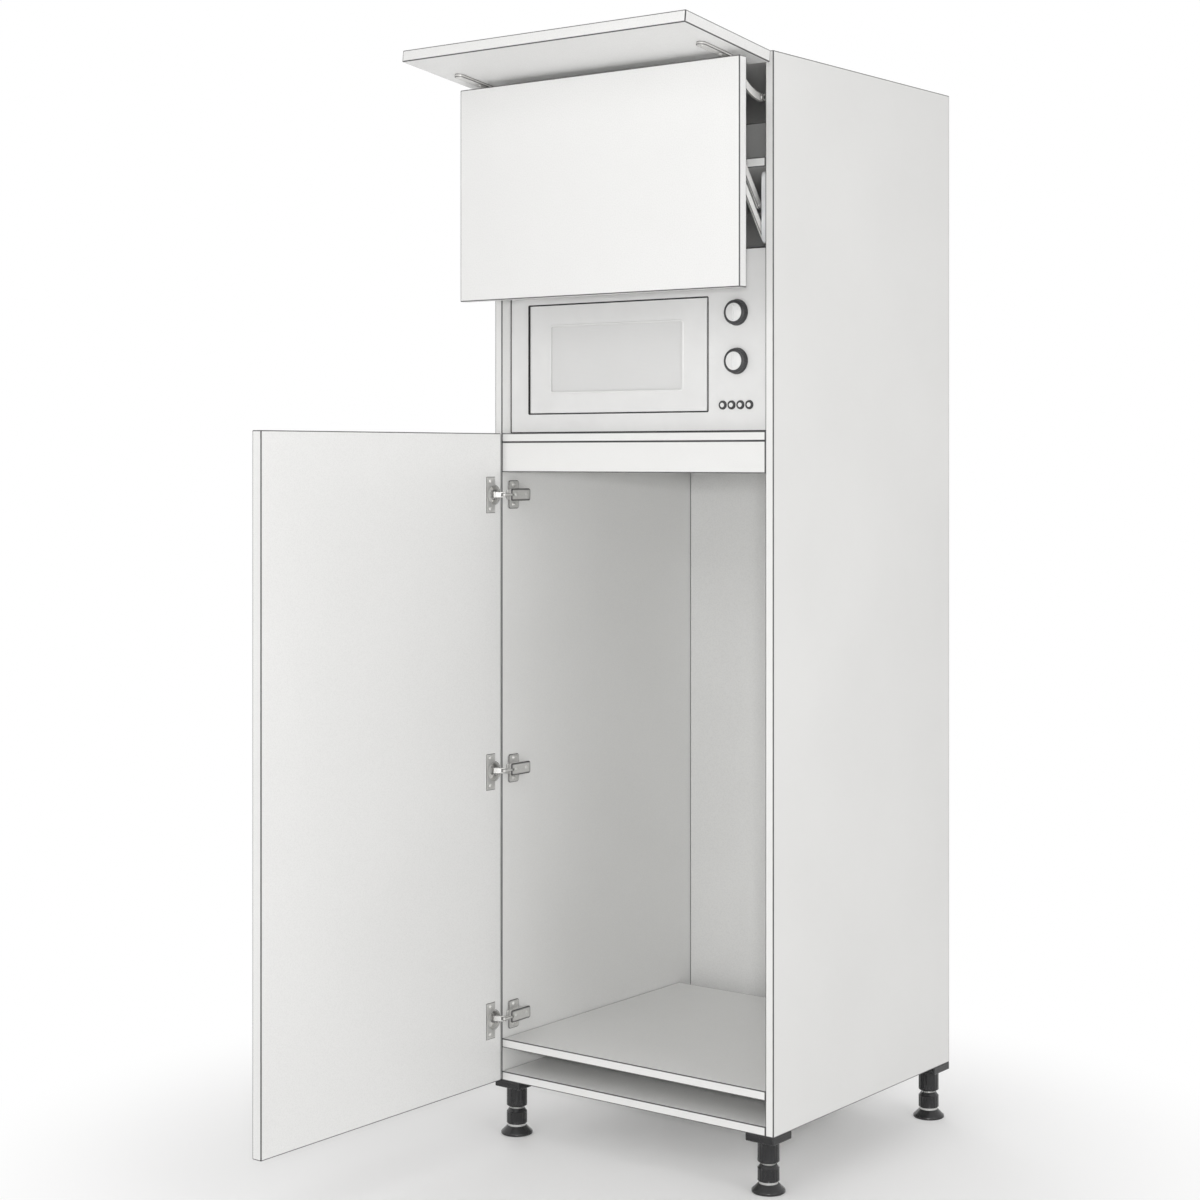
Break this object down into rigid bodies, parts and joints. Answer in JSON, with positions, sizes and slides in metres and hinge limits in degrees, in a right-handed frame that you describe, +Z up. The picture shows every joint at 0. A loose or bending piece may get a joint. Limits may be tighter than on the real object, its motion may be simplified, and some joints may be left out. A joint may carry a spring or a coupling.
{
  "type": "tall appliance cabinet",
  "caption": "Tall kitchen cabinet with a refrigerator niche behind a hinged door, and a built-in microwave under a lifting front and a top flap.",
  "frame": {"origin": "on the floor under the middle of the carcass front edge", "axes": "+X to the viewer's right, +Y from the front to the back, +Z up; the door stands open toward -Y"},
  "size_m": [0.6011, 1.2047, 1.9286],
  "materials": {
    "carcass_board": "white melamine-faced chipboard, fine satin",
    "front_board": "white satin front, edged all round",
    "back_board": "white-faced fibreboard, satin",
    "hinge_steel": "nickel-plated stamped steel",
    "pin_steel": "bright turned steel",
    "lift_case": "light grey painted steel cover",
    "foot_plastic": "black moulded plastic, fine matt",
    "oven_steel": "pale grey enamelled steel",
    "cavity_enamel": "light enamel",
    "oven_white": "white moulded plastic, semi-gloss",
    "oven_glass": "tinted oven glass",
    "control_plastic": "dark moulded plastic",
    "control_white": "pale moulded plastic",
    "plate_glass": "clear pressed glass"
  },
  "bodies": {
    "carcass": {"appliance_floor": "carcass_board", "back_panel": "back_board", "bottom_panel": "carcass_board", "cross_rail": "carcass_board", "door_arm_pins": "pin_steel", "door_hinge_arms": "hinge_steel", "door_hinge_plates": "hinge_steel", "flap_arm_pins": "pin_steel", "flap_hinge_arms": "hinge_steel", "flap_hinge_plates": "hinge_steel", "foot_sockets": "foot_plastic", "left_side_panel": "carcass_board", "lift_housings": "lift_case", "lift_pivot_pins": "pin_steel", "microwave_shelf": "carcass_board", "mw_casing": "oven_steel", "mw_cavity": "cavity_enamel", "mw_control_unit": "control_plastic", "mw_fascia": "oven_white", "mw_feet": "control_plastic", "mw_hinge_pins": "pin_steel", "mw_turntable_motor": "oven_steel", "right_side_panel": "carcass_board", "shelf_pins": "pin_steel", "stay_housings": "lift_case", "stay_pivot_pins": "pin_steel", "top_panel": "carcass_board", "upper_shelf": "carcass_board", "wall_rail": "carcass_board"},
    "foot_front_left": {"foot_front_left": "foot_plastic"},
    "foot_front_right": {"foot_front_right": "foot_plastic"},
    "foot_back_left": {"foot_back_left": "foot_plastic"},
    "foot_back_right": {"foot_back_right": "foot_plastic"},
    "door_links": {"door_hinge_links": "hinge_steel"},
    "door": {"door_panel": "front_board", "door_hinge_cups": "hinge_steel", "door_cup_pins": "pin_steel"},
    "flap_links": {"flap_hinge_links": "hinge_steel"},
    "flap": {"flap_panel": "front_board", "flap_hinge_cups": "hinge_steel", "flap_cup_pins": "pin_steel", "flap_rails": "hinge_steel", "flap_rail_pins": "pin_steel"},
    "stay_levers": {"stay_levers": "hinge_steel", "stay_joint_pins": "pin_steel"},
    "stay_links": {"stay_links": "hinge_steel"},
    "lift_arms_lower": {"lift_arms_lower": "hinge_steel"},
    "lift_arms_upper": {"lift_arms_upper": "hinge_steel"},
    "lift_front": {"lift_front_panel": "front_board", "lift_brackets": "hinge_steel", "lift_bracket_pins": "pin_steel"},
    "mw_door": {"mw_door_frame": "oven_white", "mw_door_glass": "oven_glass"},
    "mw_turntable": {"mw_turntable": "plate_glass"},
    "mw_knob_power": {"mw_knob_power": "control_white"},
    "mw_knob_timer": {"mw_knob_timer": "control_white"},
    "mw_button_1": {"mw_button_1": "control_white"},
    "mw_button_2": {"mw_button_2": "control_white"},
    "mw_button_3": {"mw_button_3": "control_white"},
    "mw_button_4": {"mw_button_4": "control_white"}
  },
  "joints": [
    {"name": "front_lift", "type": "hinge", "parent": "carcass", "child": "lift_arms_lower", "pos_m": [0, 0.012, 1.597], "axis": [-1, 0, 0], "range_deg": [-143.43, 0]},
    {"name": "upper_arm_swing", "type": "hinge", "parent": "carcass", "child": "lift_arms_upper", "pos_m": [0, 0.012, 1.647], "axis": [-1, 0, 0], "range_deg": [-143.44, 0.01]},
    {"name": "front_level", "type": "hinge", "parent": "lift_arms_lower", "child": "lift_front", "pos_m": [0, -0.064, 1.69944], "axis": [-1, 0, 0], "range_deg": [-0.01, 143.44]},
    {"name": "flap_link_swing", "type": "hinge", "parent": "carcass", "child": "flap_links", "pos_m": [0, -0.0095, 1.8705], "axis": [-1, 0, 0], "range_deg": [-0.01, 36.87]},
    {"name": "flap_swing", "type": "hinge", "parent": "flap_links", "child": "flap", "pos_m": [0, -0.0184, 1.8857], "axis": [-1, 0, 0], "range_deg": [-133.87, 0.01]},
    {"name": "stay_lever_swing", "type": "hinge", "parent": "carcass", "child": "stay_levers", "pos_m": [0, 0.062, 1.84], "axis": [-1, 0, 0], "range_deg": [-97.01, 0.01]},
    {"name": "stay_link_level", "type": "hinge", "parent": "stay_levers", "child": "stay_links", "pos_m": [0, 0.01064, 1.82518], "axis": [-1, 0, 0], "range_deg": [-0.01, 97.01]},
    {"name": "door_link_swing", "type": "hinge", "parent": "carcass", "child": "door_links", "pos_m": [-0.2705, -0.0095, 0.6], "axis": [0, 0, -1], "range_deg": [-1.91, 34.21]},
    {"name": "door_swing", "type": "hinge", "parent": "door_links", "child": "door", "pos_m": [-0.2861, -0.01768, 0.6], "axis": [0, 0, -1], "range_deg": [-124.2, 6.9]},
    {"name": "mw_door_swing", "type": "hinge", "parent": "carcass", "child": "mw_door", "pos_m": [-0.233, 0.03, 1.402], "axis": [0, 0, -1], "range_deg": [0, 95]},
    {"name": "mw_power_turn", "type": "hinge", "parent": "carcass", "child": "mw_knob_power", "pos_m": [0.211, 0.02, 1.471], "axis": [0, 1, 0], "range_deg": [0, 270]},
    {"name": "mw_timer_turn", "type": "hinge", "parent": "carcass", "child": "mw_knob_timer", "pos_m": [0.211, 0.02, 1.389], "axis": [0, 1, 0], "range_deg": [0, 330]},
    {"name": "mw_button_1_press", "type": "slide", "parent": "carcass", "child": "mw_button_1", "axis": [0, 1, 0], "range_m": [0, 0.002], "stiffness_N_per_m": 400},
    {"name": "mw_button_2_press", "type": "slide", "parent": "carcass", "child": "mw_button_2", "axis": [0, 1, 0], "range_m": [0, 0.002], "stiffness_N_per_m": 400},
    {"name": "mw_button_3_press", "type": "slide", "parent": "carcass", "child": "mw_button_3", "axis": [0, 1, 0], "range_m": [0, 0.002], "stiffness_N_per_m": 400},
    {"name": "mw_button_4_press", "type": "slide", "parent": "carcass", "child": "mw_button_4", "axis": [0, 1, 0], "range_m": [0, 0.002], "stiffness_N_per_m": 400},
    {"name": "mw_turntable_spin", "type": "hinge", "parent": "carcass", "child": "mw_turntable", "pos_m": [-0.045, 0.206, 1.3295], "axis": [0, 0, 1], "continuous": true},
    {"name": "foot_front_left_height", "type": "slide", "parent": "carcass", "child": "foot_front_left", "axis": [0, 0, -1], "range_m": [0, 0.02]},
    {"name": "foot_front_right_height", "type": "slide", "parent": "carcass", "child": "foot_front_right", "axis": [0, 0, -1], "range_m": [0, 0.02]},
    {"name": "foot_back_left_height", "type": "slide", "parent": "carcass", "child": "foot_back_left", "axis": [0, 0, -1], "range_m": [0, 0.02]},
    {"name": "foot_back_right_height", "type": "slide", "parent": "carcass", "child": "foot_back_right", "axis": [0, 0, -1], "range_m": [0, 0.02]}
  ],
  "couplings": [
    {"joint": "upper_arm_swing", "follows": "front_lift", "ratio": 1},
    {"joint": "front_level", "follows": "front_lift", "ratio": -1},
    {"joint": "flap_link_swing", "follows": "front_lift", "ratio": -0.25699},
    {"joint": "flap_swing", "follows": "front_lift", "ratio": 0.93328},
    {"joint": "stay_lever_swing", "follows": "front_lift", "ratio": 0.67629},
    {"joint": "stay_link_level", "follows": "front_lift", "ratio": -0.67629},
    {"joint": "door_link_swing", "follows": "door_swing", "ratio": -0.27536}
  ]
}
